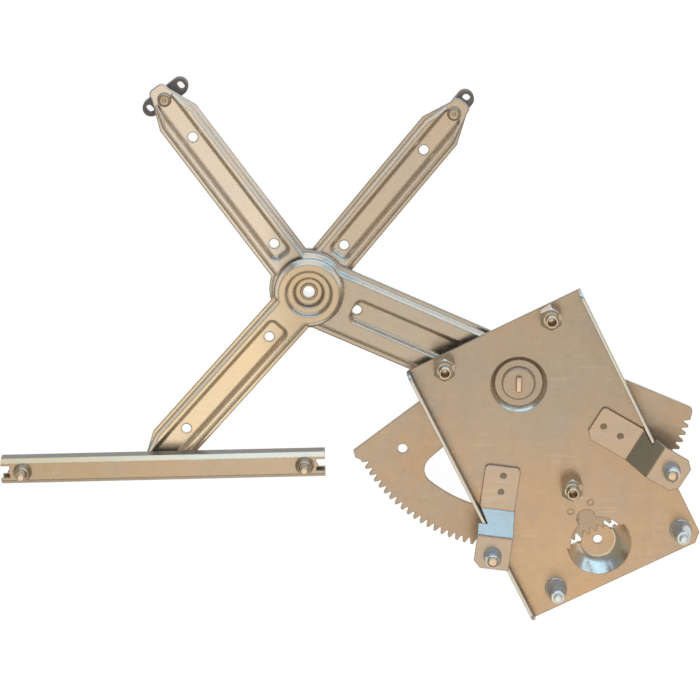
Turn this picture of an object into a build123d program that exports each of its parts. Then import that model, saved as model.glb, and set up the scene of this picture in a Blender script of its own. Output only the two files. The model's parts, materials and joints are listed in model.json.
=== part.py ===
"""Window regulator of a vehicle door: scissor arms, toothed sector, base plate and equaliser rail.

Millimetres, +Z towards the viewer. The origin is the middle of the drive bore, on the front face of
the bearing disc. Every joint axis is parallel to Z.
"""
import os
from math import atan, atan2, cos, degrees, pi, radians, sin, sqrt, tan

from build123d import *

os.makedirs("parts", exist_ok=True)

# Running clearances and fits
play = 0.1  # between flat faces that turn on each other
run_fit = 0.05  # radial, between a pin and the bore that turns on it
press_gap = 0.02  # radial, between a rivet and its hole

# Sheet and pressing depths
plate_sheet = 2.0
arm_sheet = 1.8
sector_sheet = 2.5
rib_height = 3.7  # from the web of an arm up to the crest of its ribs
rib_slope = 2.2  # width of the slope of a rib, seen from the front

# Gear
module = 1.622
sector_teeth = 137  # on the full circle
pinion_teeth = 10  # of the drive that turns in the drive bore
pressure_angle = 20.0
first_tooth = -151.9  # degrees about the lift pivot
last_tooth = -12.6

# Base plate, in a frame turned so that the lift pivot is straight above the drive bore
plate_angle = 26.5
plate_left = 60.0
plate_right = 61.2
plate_top = 39.1  # above the lift pivot
plate_bottom = 27.0  # below the drive bore
corner_cut = 5.5
flange_height = 10.0  # above the front of the plate
flange_round = 6.0
right_flange_length = 114.0
plate_bend = 0.8  # inner radius of the flange bends
press_border = 2.5  # flat ring that belongs to a pressed form

# Drive bearing
bore_radius = 3.0
disc_radius = 10.8
bowl_rim = 20.5
bowl_depth = 8.7
bowl_open = 74.0  # half angle, towards the sector
window_radius = 18.0
lobe_radius = 6.1
lobe_reach = 19.1
clinch_radius = 1.9
clinch_depth = 0.5
clinch_places = ((-7.0, 27.6), (7.0, 27.6))

# Lift pivot
dish_floor = 15.1
dish_rim = 18.0
dish_depth = 3.0
pivot_radius = 5.0
pivot_head = 10.7
pivot_head_height = 2.5
pivot_chamfer = 0.8
pivot_tail = 9.0
pivot_tail_height = 2.9
tang_width = 3.8
tang_length = 9.9
tang_height = 3.0
washer_radius = 12.0
sector_gap = 0.6  # from the back of the sector to the front of the bearing disc

# Toothed sector
sector_hub = 28.0
right_edge_fall = -23.3  # degrees, the straight edge at the right end
left_edge_fall = -142.2
stop_reach = 2.4  # the corner beyond the first tooth stands this much past the tips
stop_start = 0.7  # degrees past the first tooth
stop_end = 5.4
tooth_crown = 0.05  # how far a flank swells at the pitch circle
tip_spare = 0.4
right_round = 3.0
slot_outer = 86.5
slot_inner = 46.0
slot_left = -137.5
slot_right = -45.0
slot_round = 10.0
sector_hole = 3.15
sector_hole_reach = 85.7
sector_hole_angle = -148.7
sector_rivet_reach = 23.6
sector_rivet_head = 3.8
sector_rivet_shank = 2.6
sector_rivet_rise = 1.5
sector_rivet_spread = 52.0

# Arms
lift_angle = 156.03
lift_reach = 145.2  # pivot to hub
lift_half_width = 22.0
lift_flange = 3.0
lift_crest = 8.7
lift_hub = 25.0
pivot_boss = 32.5
left_angle = 126.39
left_reach = 150.1
right_angle = 50.78
right_reach = 143.3
lower_angle = -131.3
lower_reach = 147.8
arm_half_width = 14.0
lower_half_width = 14.7
rib_flange = 2.3
rib_crest = 2.4
disc_border = 1.6  # flat rim around the raised discs of the lift arm
hub_flange = 25.0
hub_crest = 20.5
front_hub_flange = 22.0  # the front half of the cross arm has a smaller hub
front_hub_crest = 19.2
hub_step = 14.8
hub_well = 9.8
hub_step_depth = 3.0
well_slope = 1.4  # width of the slope of each step
well_flat = 0.7  # flat ring around the upper step
recess_round = 2.2
recess_start = 29.0  # from the hub to the web recess of a narrow arm
lift_recess_start = 32.0
lift_recess_end = 42.0  # from the lift pivot
tip_taper = 14.0
tip_half_width = 6.2
tip_round = 3.8
tip_reach = 9.6  # past the pin
tool_hole = 3.0
left_holes = (36.7, 121.0)
lower_holes = (38.0, 118.5)
right_holes = (35.0, 113.7)
lift_hole = 33.1  # from the hub

# Hub
eyelet_radius = 4.4
eyelet_bore = 3.4
eyelet_head = 5.6
eyelet_head_height = 1.3
eyelet_chamfer = 0.5
hub_bearing = 7.0
bush_flange = 13.0
hub_washer_radius = 9.4
hub_washer_sheet = 0.5
bush_height = 4.3  # from the back of the lift arm's hub to the front of the rear arm

# Sliders and their pins
pin_radius = 2.5
pin_head = 4.4
pin_head_height = 2.9
right_head_height = 2.4
head_dome = 0.8  # share of a head's height that is rounded
pin_tail = 4.2
pin_tail_height = 1.2
shoe_length = 33.0
shoe_width = 10.6
shoe_height = 8.0
shoe_gap = 0.3  # between the rear arm and its shoe
shoe_eye = 12.2  # from the pin to the middle of an end loop
shoe_eye_length = 4.4
shoe_eye_width = 5.4
shoe_eye_round = 2.0
spacer_radius = 5.0
left_shoe_angle = 37.0
shoe_recess = 1.8

# Rail
rail_angle = 1.39
rail_left = 97.7  # from the slider pin
rail_right = 107.7
rail_width = 16.4
rail_depth = 11.4
rail_sheet = 1.6
rail_bevel = 2.7
rail_lip = 2.6
rail_gap = 0.5  # between the ribs of the lower arm and the rail
notch_depth = 5.5
notch_width = 8.0
tongue_radius = 1.5  # of the round bump in the middle of a notch
tongue_rise = 1.2
slide_fit = 0.25
slider_neck = 3.6
slider_length = 30.0
rail_stud_left = 83.9
rail_stud_right = 94.7
slider_head_height = 0.9
slider_tail_height = 0.8
slider_head_depth = 1.9  # from the face of the block to the front of the pin in it
slider_head_play = 0.2

# Studs, nuts and brackets
nut_flats = 13.0
nut_height = 13.0
nut_boss = 4.4
nut_boss_height = 6.5
nut_bore = 2.5
nut_bore_depth = 16.0
nut_places = ((-37.0, 151.4), (37.0, 151.4), (0.8, 43.9))
stud_base = 7.2
stud_foot = 1.0  # height of the straight foot
stud_ring = 5.3
stud_cone_height = 15.0
stud_ring_height = 2.0
stud_tip = 3.0
stud_tip_height = 3.5
stud_places = ((50.9, -15.0), (-37.8, -15.4))
pin_base = 6.0
pin_base_height = 1.2
pin_body = 4.2
pin_length = 11.0
pin_dome = 1.6
rail_pin_length = 12.5
bracket_sheet = 2.0
bracket_rise = 15.0
bracket_run = 13.7
bracket_corner = 4.5
bracket_round = 3.0
bracket_bend = 1.2  # inner radius of the bends
left_bracket_start = (-62.2, 52.6)
left_bracket_angle = -97.3
left_bracket_width = 22.8
left_bracket_pad = 29.0
left_bracket_length = 64.3
left_bracket_pin = 55.8
left_bracket_clinches = ((6.2, 0.8), (17.1, 0.8))
right_bracket_start = (-5.1, 82.6)
right_bracket_angle = -30.5
right_bracket_width = 23.3
right_bracket_pad = 30.3
right_bracket_length = 65.9
right_bracket_pin = 55.6
right_bracket_clinches = ((6.9, 0.2), (19.5, 0.2))
bracket_clinch = 1.9

# Levels along Z that follow from the sizes above
plate_front = bowl_depth
plate_back = plate_front - plate_sheet
dish_front = plate_front - dish_depth
dish_back = dish_front - plate_sheet
sector_front = sector_gap + sector_sheet
sector_back = sector_gap
lift_crest_front = sector_back
lift_hub_back = lift_crest_front - arm_sheet
lift_web_front = lift_crest_front - rib_height
lift_web_back = lift_web_front - arm_sheet
well_back = lift_crest_front + play + hub_washer_sheet
well_front = well_back + arm_sheet
step_front = well_front + rib_height
lower_crest_front = step_front + hub_step_depth
lower_web_front = lower_crest_front - rib_height
lower_web_back = lower_web_front - arm_sheet
upper_crest_front = lift_hub_back - bush_height
upper_hub_back = upper_crest_front - arm_sheet
upper_web_front = upper_crest_front - rib_height
upper_web_back = upper_web_front - arm_sheet
shoe_front = upper_web_back - shoe_gap
shoe_back = shoe_front - shoe_height
rail_back = lower_crest_front + rail_gap
rail_front = rail_back + rail_depth

# Points in the plan
centre_distance = module * (sector_teeth + pinion_teeth) / 2
turn = radians(plate_angle)
pivot_at = (-centre_distance * sin(turn), centre_distance * cos(turn))


def reach(start, angle, length):
    """The point that lies a length from another one, at an angle from +X."""
    a = radians(angle)
    return (start[0] + length * cos(a), start[1] + length * sin(a))


hub_at = reach(pivot_at, lift_angle, lift_reach)
left_at = reach(hub_at, left_angle, left_reach)
right_at = reach(hub_at, right_angle, right_reach)
lower_at = reach(hub_at, lower_angle, lower_reach)
rib_draft = degrees(atan(rib_slope / rib_height))
skin_shift = arm_sheet * tan(radians(90 - rib_draft) / 2)
right_shoe_angle = right_angle


def frame_at(point, angle, height):
    """A plane parallel to XY whose X axis points along an angle."""
    a = radians(angle)
    return Plane(origin=(point[0], point[1], height), x_dir=(cos(a), sin(a), 0), z_dir=(0, 0, 1))


def edges_along(candidates, point, angle, height):
    """The edges that lie on a line, which runs through a point at an angle and a level."""
    a = radians(angle)
    found = []
    for edge in candidates:
        off = 0
        for end in (edge @ 0, edge @ 1):
            off = max(off, abs((end.X - point[0]) * sin(a) - (end.Y - point[1]) * cos(a)))
            off = max(off, abs(end.Z - height))
        if off < 0.01:
            found.append(edge)
    return found


def side_frame(point, angle, height):
    """An upright plane with its X axis along an angle and its Y axis along +Z."""
    a = radians(angle)
    return Plane(origin=(point[0], point[1], height), x_dir=(cos(a), sin(a), 0), z_dir=(sin(a), -cos(a), 0))


# Base plate: pressed sheet with two turned-up flanges, a drive bowl and a pivot dish
top_edge = centre_distance + plate_top
wedge_reach = 3 * bowl_rim
open_start = 90 - bowl_open
wedge = [(0, 0)]
for step in range(5):
    wedge.append(reach((0, 0), open_start + step * bowl_open / 2, wedge_reach))
bowl_tilt = atan2(bowl_depth, bowl_rim - disc_radius)
bowl_skin = plate_sheet * tan(bowl_tilt / 2)
dish_skin = plate_sheet * tan(atan2(dish_depth, dish_rim - dish_floor) / 2)
bowl_border = bowl_rim + press_border
dish_border = dish_rim + press_border

with BuildPart() as drive_bowl:
    with BuildSketch(Plane.XZ):
        with BuildLine():
            Polyline(
                (bore_radius, 0),
                (disc_radius, 0),
                (bowl_rim, plate_front),
                (bowl_border, plate_front),
                (bowl_border, plate_back),
                (bowl_rim + bowl_skin, plate_back),
                (disc_radius + bowl_skin, -plate_sheet),
                (bore_radius, -plate_sheet),
                close=True,
            )
        make_face()
    revolve(axis=Axis.Z)
    with BuildSketch(frame_at((0, 0), plate_angle, -2 * plate_sheet)):
        Polygon(*wedge, align=None)
        Circle(disc_radius, mode=Mode.SUBTRACT)
    extrude(amount=plate_front + 4 * plate_sheet, mode=Mode.SUBTRACT)

with BuildPart() as pivot_dish:
    with BuildSketch(Plane.XZ):
        with BuildLine():
            Polyline(
                (pivot_radius + press_gap, dish_front),
                (dish_floor, dish_front),
                (dish_rim, plate_front),
                (dish_border, plate_front),
                (dish_border, plate_back),
                (dish_rim + dish_skin, plate_back),
                (dish_floor + dish_skin, dish_back),
                (pivot_radius + press_gap, dish_back),
                close=True,
            )
        make_face()
    revolve(axis=Axis.Z)

with BuildPart() as base_plate:
    with BuildSketch(frame_at((0, 0), plate_angle, plate_back)):
        with BuildLine():
            Polyline(
                (-plate_left, top_edge),
                (-plate_left, -plate_bottom),
                (plate_right - corner_cut, -plate_bottom),
                (plate_right, corner_cut - plate_bottom),
                (plate_right, top_edge),
                close=True,
            )
        make_face()
        with Locations((0, centre_distance)):
            Circle(dish_border, mode=Mode.SUBTRACT)
        Circle(window_radius, mode=Mode.SUBTRACT)
        with Locations((0, lobe_reach)):
            Circle(lobe_radius, mode=Mode.SUBTRACT)
    extrude(amount=plate_sheet)
    with BuildSketch(frame_at((0, 0), plate_angle, plate_back)):
        Circle(bowl_border)
        Polygon(*wedge, align=None, mode=Mode.SUBTRACT)
    extrude(amount=plate_sheet, mode=Mode.SUBTRACT)
    add(drive_bowl.part)
    add(pivot_dish.part.moved(Location((pivot_at[0], pivot_at[1], 0))))
    # Left flange over the whole edge, right flange down to the bracket
    with BuildSketch(side_frame(reach((0, 0), plate_angle, -plate_left), plate_angle + 90, plate_back)):
        with Locations(((top_edge - plate_bottom) / 2, 0)):
            Rectangle(
                top_edge + plate_bottom,
                flange_height + plate_sheet,
                align=(Align.CENTER, Align.MIN),
            )
        fillet(vertices().group_by(Axis.Y)[-1], flange_round)
    extrude(amount=plate_sheet)
    with BuildSketch(side_frame(reach((0, 0), plate_angle, plate_right), plate_angle + 90, plate_back)):
        with Locations((top_edge - right_flange_length / 2, 0)):
            Rectangle(
                right_flange_length,
                flange_height + plate_sheet,
                align=(Align.CENTER, Align.MIN),
            )
        fillet(vertices().group_by(Axis.Y)[-1], flange_round)
    extrude(amount=-plate_sheet)
    # Bend radii of the flanges
    left_outer = reach((0, 0), plate_angle, -plate_left)
    left_inner = reach((0, 0), plate_angle, plate_sheet - plate_left)
    right_outer = reach((0, 0), plate_angle, plate_right)
    right_inner = reach((0, 0), plate_angle, plate_right - plate_sheet)
    fillet(edges_along(edges(), left_outer, plate_angle + 90, plate_back), plate_bend + plate_sheet)
    fillet(edges_along(edges(), left_inner, plate_angle + 90, plate_front), plate_bend)
    fillet(edges_along(edges(), right_inner, plate_angle + 90, plate_front), plate_bend)
    # Clinch marks beside the drive window
    with BuildSketch(frame_at((0, 0), plate_angle, plate_front)):
        with Locations(*clinch_places):
            Circle(clinch_radius)
    extrude(amount=-clinch_depth, mode=Mode.SUBTRACT)
base_plate.part.label = "base_plate"
export_step(base_plate.part, "parts/base_plate.step")


# Brackets: stepped strips with cut corners
def stepped_strip(pad, length):
    """The side profile of a bracket, drawn on the current upright sketch plane."""
    lean = bracket_sheet * tan(atan2(bracket_rise, bracket_run) / 2)
    Polygon(
        (0, 0),
        (pad + lean, 0),
        (pad + bracket_run + lean, bracket_rise),
        (length, bracket_rise),
        (length, bracket_rise + bracket_sheet),
        (pad + bracket_run, bracket_rise + bracket_sheet),
        (pad, bracket_sheet),
        (0, bracket_sheet),
        align=None,
    )
    outer = []
    for x, y in ((pad + lean, 0), (pad + bracket_run, bracket_rise + bracket_sheet)):
        outer += vertices().sort_by_distance((x, y, 0))[:1]
    fillet(outer, bracket_bend + bracket_sheet)
    inner = []
    for x, y in ((pad + bracket_run + lean, bracket_rise), (pad, bracket_sheet)):
        inner += vertices().sort_by_distance((x, y, 0))[:1]
    fillet(inner, bracket_bend)


bracket_top = plate_front + bracket_rise + bracket_sheet
relief_width = left_bracket_width

with BuildPart() as left_bracket:
    with BuildSketch(side_frame(left_bracket_start, left_bracket_angle, plate_front)):
        stepped_strip(left_bracket_pad, left_bracket_length)
    extrude(amount=left_bracket_width / 2, both=True)
    fillet(edges().filter_by(Axis.Z).sort_by_distance((*left_bracket_start, plate_front))[:2], bracket_round)
    with BuildSketch(frame_at(left_bracket_start, left_bracket_angle, plate_front)):
        with BuildLine():
            Polyline(
                (left_bracket_length - bracket_corner, -left_bracket_width / 2),
                (left_bracket_length, -left_bracket_width / 2),
                (left_bracket_length, bracket_corner - left_bracket_width / 2),
                close=True,
            )
        make_face()
    extrude(amount=2 * bracket_rise, mode=Mode.SUBTRACT)
    with BuildSketch(frame_at(left_bracket_start, left_bracket_angle, plate_front + bracket_sheet)):
        with Locations(*left_bracket_clinches):
            Circle(bracket_clinch)
    extrude(amount=-clinch_depth, mode=Mode.SUBTRACT)
    # Relief where the slope passes the left flange of the plate
    with BuildSketch(frame_at((0, 0), plate_angle, plate_front)):
        with Locations((plate_sheet + plate_bend + play - plate_left, 0)):
            Rectangle(relief_width, 2 * top_edge, align=(Align.MAX, Align.CENTER))
    extrude(amount=flange_height + play, mode=Mode.SUBTRACT)
left_bracket.part.label = "left_bracket"
export_step(left_bracket.part, "parts/left_bracket.step")

with BuildPart() as right_bracket:
    with BuildSketch(side_frame(right_bracket_start, right_bracket_angle, plate_front)):
        stepped_strip(right_bracket_pad, right_bracket_length)
    extrude(amount=right_bracket_width / 2, both=True)
    right_corner_at = reach(right_bracket_start, right_bracket_angle + 90, right_bracket_width / 2)
    fillet(edges().filter_by(Axis.Z).sort_by_distance((*right_corner_at, plate_front))[:1], bracket_round)
    with BuildSketch(frame_at(right_bracket_start, right_bracket_angle, plate_front)):
        with BuildLine():
            Polyline(
                (0, -right_bracket_width / 2),
                (bracket_corner, -right_bracket_width / 2),
                (0, bracket_corner - right_bracket_width / 2),
                close=True,
            )
        make_face()
        with BuildLine():
            Polyline(
                (right_bracket_length - bracket_corner, -right_bracket_width / 2),
                (right_bracket_length, -right_bracket_width / 2),
                (right_bracket_length, bracket_corner - right_bracket_width / 2),
                close=True,
            )
        make_face()
        with BuildLine():
            Polyline(
                (right_bracket_length - bracket_corner, right_bracket_width / 2),
                (right_bracket_length, right_bracket_width / 2),
                (right_bracket_length, right_bracket_width / 2 - bracket_corner),
                close=True,
            )
        make_face()
    extrude(amount=2 * bracket_rise, mode=Mode.SUBTRACT)
    with BuildSketch(frame_at(right_bracket_start, right_bracket_angle, plate_front + bracket_sheet)):
        with Locations(*right_bracket_clinches):
            Circle(bracket_clinch)
    extrude(amount=-clinch_depth, mode=Mode.SUBTRACT)
    # Relief where the slope passes the right flange of the plate
    with BuildSketch(frame_at((0, 0), plate_angle, plate_front)):
        with Locations((plate_right - plate_sheet - plate_bend - play, 0)):
            Rectangle(relief_width, 2 * top_edge, align=(Align.MIN, Align.CENTER))
    extrude(amount=flange_height + play, mode=Mode.SUBTRACT)
right_bracket.part.label = "right_bracket"
export_step(right_bracket.part, "parts/right_bracket.step")

# Hexagonal nuts with a round boss
with BuildPart() as hex_standoffs:
    with BuildSketch(frame_at((0, 0), plate_angle, plate_front)):
        with Locations(*nut_places):
            RegularPolygon(nut_flats / 2, 6, major_radius=False, rotation=90 - plate_angle)
    extrude(amount=nut_height)
    with BuildSketch(frame_at((0, 0), plate_angle, plate_front + nut_height)):
        with Locations(*nut_places):
            Circle(nut_boss)
    extrude(amount=nut_boss_height)
    with BuildSketch(frame_at((0, 0), plate_angle, plate_front + nut_height + nut_boss_height)):
        with Locations(*nut_places):
            Circle(nut_bore)
    extrude(amount=-nut_bore_depth, mode=Mode.SUBTRACT)
hex_standoffs.part.label = "hex_standoffs"
export_step(hex_standoffs.part, "parts/hex_standoffs.step")

# Tapered collar studs on the lower edge of the plate
with BuildPart() as collar_stud:
    with BuildSketch(Plane.XZ):
        with BuildLine():
            Polyline(
                (0, 0),
                (stud_base, 0),
                (stud_base, stud_foot),
                (stud_ring, stud_cone_height),
                (stud_ring, stud_cone_height + stud_ring_height),
                (stud_tip, stud_cone_height + stud_ring_height),
                (stud_tip, stud_cone_height + stud_ring_height + stud_tip_height),
                (0, stud_cone_height + stud_ring_height + stud_tip_height),
                close=True,
            )
        make_face()
    revolve(axis=Axis.Z)

with BuildPart() as collar_studs:
    for place in stud_places:
        u, v = place
        foot = reach(reach((0, 0), plate_angle, u), plate_angle + 90, v)
        add(collar_stud.part.moved(Location((foot[0], foot[1], plate_front))))
collar_studs.part.label = "collar_studs"
export_step(collar_studs.part, "parts/collar_studs.step")


# Round pins with a foot ring and a domed tip
dome_radius = (pin_body**2 + pin_dome**2) / (2 * pin_dome)
with BuildPart() as bracket_pin:
    with BuildSketch(Plane.XZ):
        with BuildLine():
            Polyline(
                (0, pin_length),
                (0, 0),
                (pin_base, 0),
                (pin_base, pin_base_height),
                (pin_body, pin_base_height),
                (pin_body, pin_length - pin_dome),
            )
            RadiusArc((pin_body, pin_length - pin_dome), (0, pin_length), -dome_radius)
        make_face()
    revolve(axis=Axis.Z)

left_pin_at = reach(left_bracket_start, left_bracket_angle, left_bracket_pin)
right_pin_at = reach(right_bracket_start, right_bracket_angle, right_bracket_pin)
with BuildPart() as bracket_pins:
    add(bracket_pin.part.moved(Location((left_pin_at[0], left_pin_at[1], bracket_top))))
    add(bracket_pin.part.moved(Location((right_pin_at[0], right_pin_at[1], bracket_top))))
bracket_pins.part.label = "bracket_pins"
export_step(bracket_pins.part, "parts/bracket_pins.step")

# Lift pivot: a large rivet with a tang on its head
tail_front = lift_hub_back - play
with BuildPart() as main_pivot:
    with BuildSketch(Plane.XY.offset(dish_front)):
        with Locations(pivot_at):
            Circle(pivot_head)
    extrude(amount=pivot_head_height)
    chamfer(faces().sort_by(Axis.Z)[-1].edges(), pivot_chamfer)
    with BuildSketch(Plane.XY.offset(dish_front + pivot_head_height)):
        with Locations(pivot_at):
            Rectangle(tang_width, tang_length)
    extrude(amount=tang_height)
    with BuildSketch(Plane.XY.offset(tail_front)):
        with Locations(pivot_at):
            Circle(pivot_radius)
    extrude(amount=dish_front - tail_front)
    with BuildSketch(Plane.XY.offset(tail_front - pivot_tail_height)):
        with Locations(pivot_at):
            Circle(pivot_tail)
    extrude(amount=pivot_tail_height)
main_pivot.part.label = "main_pivot"
export_step(main_pivot.part, "parts/main_pivot.step")

with BuildPart() as pivot_washer:
    with BuildSketch(Plane.XY.offset(sector_front + play)):
        with Locations(pivot_at):
            Circle(washer_radius)
            Circle(pivot_radius + press_gap, mode=Mode.SUBTRACT)
    extrude(amount=dish_back - sector_front - play)
pivot_washer.part.label = "pivot_washer"
export_step(pivot_washer.part, "parts/pivot_washer.step")

# Toothed sector
pitch_radius = module * sector_teeth / 2
tip_radius = pitch_radius + module
root_radius = pitch_radius - 1.25 * module
tooth_step = 360 / sector_teeth
gap_count = round((last_tooth - first_tooth) / tooth_step)
lean = tan(radians(pressure_angle))
gap_pitch = pi * module / 4  # half width of a gap on the pitch circle
gap_tip = gap_pitch + (module + tip_spare) * lean
gap_root = gap_pitch - (pitch_radius - root_radius) * lean
tooth_gap = (
    (root_radius, -gap_root),
    (root_radius, gap_root),
    (pitch_radius, gap_pitch - tooth_crown),
    (tip_radius + tip_spare, gap_tip + tooth_crown),
    (tip_radius + tip_spare, -gap_tip - tooth_crown),
    (pitch_radius, tooth_crown - gap_pitch),
)
tangent_left = left_edge_fall + 90
tangent_right = right_edge_fall + 90
rivet_angles = []
for side in (-1, 0, 1):
    rivet_angles.append((first_tooth + last_tooth) / 2 + side * sector_rivet_spread)

with BuildPart() as sector_gear:
    with BuildSketch(frame_at(pivot_at, 0, sector_back)) as sector_plan:
        Circle(tip_radius)
        # Square corner beyond the first tooth
        Polygon(
            reach((0, 0), first_tooth - stop_start, root_radius),
            reach((0, 0), first_tooth - stop_start, tip_radius),
            reach((0, 0), first_tooth - 3 * stop_start, tip_radius + stop_reach),
            reach((0, 0), first_tooth - stop_end, tip_radius + stop_reach / 2),
            reach((0, 0), first_tooth - stop_end, root_radius),
            align=None,
        )
        Polygon(
            reach((0, 0), tangent_left, -sector_hub),
            reach(reach((0, 0), tangent_left, -sector_hub), left_edge_fall, 2 * tip_radius),
            (0, -3 * tip_radius),
            reach(reach((0, 0), tangent_right, sector_hub), right_edge_fall, 2 * tip_radius),
            reach((0, 0), tangent_right, sector_hub),
            align=None,
            mode=Mode.INTERSECT,
        )
        Circle(sector_hub)
        right_corner = vertices().sort_by(Axis.X)[-1]
        fillet(right_corner, right_round)
        # Tooth gaps
        with PolarLocations(0, gap_count, start_angle=first_tooth + tooth_step / 2,
                            angular_range=gap_count * tooth_step):
            Polygon(*tooth_gap, align=None, mode=Mode.SUBTRACT)
        # Lightening opening, pivot bore, tooling hole and rivet holes
        Circle(pivot_radius + run_fit, mode=Mode.SUBTRACT)
        with Locations(reach((0, 0), sector_hole_angle, sector_hole_reach)):
            Circle(sector_hole, mode=Mode.SUBTRACT)
        for angle in rivet_angles:
            with Locations(reach((0, 0), angle, sector_rivet_reach)):
                Circle(sector_rivet_shank + press_gap, mode=Mode.SUBTRACT)
    extrude(amount=sector_sheet)
    with BuildSketch(frame_at(pivot_at, 0, sector_back)) as slot_plan:
        with BuildLine():
            Line(reach((0, 0), slot_left, slot_inner), reach((0, 0), slot_left, slot_outer))
            ThreePointArc(
                reach((0, 0), slot_left, slot_outer),
                reach((0, 0), (slot_left + slot_right) / 2, slot_outer),
                reach((0, 0), slot_right, slot_outer),
            )
            Line(reach((0, 0), slot_right, slot_outer), reach((0, 0), slot_right, slot_inner))
            ThreePointArc(
                reach((0, 0), slot_right, slot_inner),
                reach((0, 0), (slot_left + slot_right) / 2, slot_inner),
                reach((0, 0), slot_left, slot_inner),
            )
        make_face()
        fillet(vertices(), slot_round)
    extrude(amount=sector_sheet, mode=Mode.SUBTRACT)
sector_gear.part.label = "sector_gear"
export_step(sector_gear.part, "parts/sector_gear.step")

# Rivets between the sector and the lift arm
with BuildPart() as sector_rivets:
    for angle in rivet_angles:
        spot = reach(pivot_at, angle, sector_rivet_reach)
        with BuildSketch(Plane.XY.offset(lift_hub_back)):
            with Locations(spot):
                Circle(sector_rivet_shank)
        extrude(amount=sector_front - lift_hub_back)
        with BuildSketch(Plane.XY.offset(sector_front)):
            with Locations(spot):
                Circle(sector_rivet_head)
        extrude(amount=sector_rivet_rise)
        with BuildSketch(Plane.XY.offset(lift_hub_back - sector_rivet_rise)):
            with Locations(spot):
                Circle(sector_rivet_head)
        extrude(amount=sector_rivet_rise)
sector_rivets.part.label = "sector_rivets"
export_step(sector_rivets.part, "parts/sector_rivets.step")


# Arms: pressed sheet with a raised rib on each side of a sunk web
lift_rib_half = lift_half_width - lift_flange
arm_rib_half = arm_half_width - rib_flange
lower_rib_half = lower_half_width - rib_flange
lift_web_half = lift_rib_half - 2 * rib_slope - lift_crest
arm_web_half = arm_rib_half - 2 * rib_slope - rib_crest
lower_web_half = lower_rib_half - 2 * rib_slope - rib_crest
tip_centre = tip_reach / 2  # the rounded tip is centred this much past the pin
hub_foot = hub_crest + rib_slope
past_tip = 3 * tip_reach


def blade(half_width, end_half, length, end):
    """Plan of an arm along +X that narrows towards its tip."""
    return (
        (0, -half_width),
        (length - tip_taper, -half_width),
        (end, -end_half),
        (end, end_half),
        (length - tip_taper, half_width),
        (0, half_width),
    )


def ribs(level, shift, blades, discs, sinks):
    """Tapered blades and discs, less the sunk webs. A shift by the sheet's skin gives their hollow side."""
    with BuildPart() as form:
        for start, angle, outline in blades:
            with BuildSketch(frame_at(start, angle, level)):
                Polygon(*outline, align=None)
                if shift > 0:
                    offset(amount=-shift, kind=Kind.INTERSECTION, mode=Mode.REPLACE)
            extrude(amount=rib_height, taper=rib_draft)
        for centre, radius in discs:
            with BuildSketch(frame_at(centre, 0, level)):
                Circle(radius - shift)
            extrude(amount=rib_height, taper=rib_draft)
        for start, angle, near, far, half_width in sinks:
            with BuildSketch(frame_at(start, angle, level)):
                with Locations(((near + far) / 2, 0)):
                    RectangleRounded(
                        far - near + 2 * shift,
                        2 * (half_width + shift),
                        recess_round + shift,
                    )
            extrude(amount=rib_height, taper=-rib_draft, mode=Mode.SUBTRACT)
    return form.part


# Lift arm: from the lift pivot to the hub, and on to the left slider
lift_blades = (
    (hub_at, left_angle, blade(arm_rib_half, arm_web_half + rib_slope, left_reach, left_reach)),
    (pivot_at, lift_angle, blade(lift_rib_half, lift_rib_half, lift_reach, lift_reach)),
)
lift_discs = ((hub_at, lift_hub - disc_border), (pivot_at, pivot_boss - disc_border))
lift_sinks = (
    (hub_at, left_angle, recess_start, left_reach + past_tip, arm_web_half),
    (pivot_at, lift_angle, lift_recess_end, lift_reach - lift_recess_start, lift_web_half),
)
lift_front = ribs(lift_web_front, 0, lift_blades, lift_discs, lift_sinks)
lift_hollow = ribs(lift_web_back, skin_shift, lift_blades, lift_discs, lift_sinks)

with BuildPart() as lift_arm:
    with BuildSketch(frame_at(pivot_at, lift_angle, lift_web_back)):
        Rectangle(lift_reach, 2 * lift_half_width, align=(Align.MIN, Align.CENTER))
        Circle(pivot_boss)
        with Locations((lift_reach, 0)):
            Circle(lift_hub)
    extrude(amount=arm_sheet)
    with BuildSketch(frame_at(hub_at, left_angle, lift_web_back)):
        Polygon(*blade(arm_half_width, tip_half_width, left_reach, left_reach + tip_centre), align=None)
        with Locations((left_reach + tip_centre, 0)):
            RectangleRounded(2 * (tip_reach - tip_centre), 2 * tip_half_width, tip_round)
    extrude(amount=arm_sheet)
    add(lift_front)
    add(lift_hollow, mode=Mode.SUBTRACT)
    with BuildSketch(Plane.XY.offset(lift_web_back - 1)):
        with Locations(pivot_at):
            Circle(pivot_radius + run_fit)
        with Locations(hub_at):
            Circle(hub_bearing)
        with Locations(left_at):
            Circle(pin_radius + press_gap)
        with Locations(reach(hub_at, lift_angle, -lift_hole)):
            Circle(tool_hole)
        for distance in left_holes:
            with Locations(reach(hub_at, left_angle, distance)):
                Circle(tool_hole)
        for angle in rivet_angles:
            with Locations(reach(pivot_at, angle, sector_rivet_reach)):
                Circle(sector_rivet_shank + press_gap)
    extrude(amount=3 * rib_height, mode=Mode.SUBTRACT)
lift_arm.part.label = "lift_arm"
export_step(lift_arm.part, "parts/lift_arm.step")

# Upper half of the cross arm, behind the lift arm
upper_blades = ((hub_at, right_angle, blade(arm_rib_half, arm_web_half + rib_slope, right_reach, right_reach)),)
upper_discs = ((hub_at, hub_foot),)
upper_sinks = ((hub_at, right_angle, recess_start, right_reach + past_tip, arm_web_half),)
upper_front = ribs(upper_web_front, 0, upper_blades, upper_discs, upper_sinks)
upper_hollow = ribs(upper_web_back, skin_shift, upper_blades, upper_discs, upper_sinks)

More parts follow.
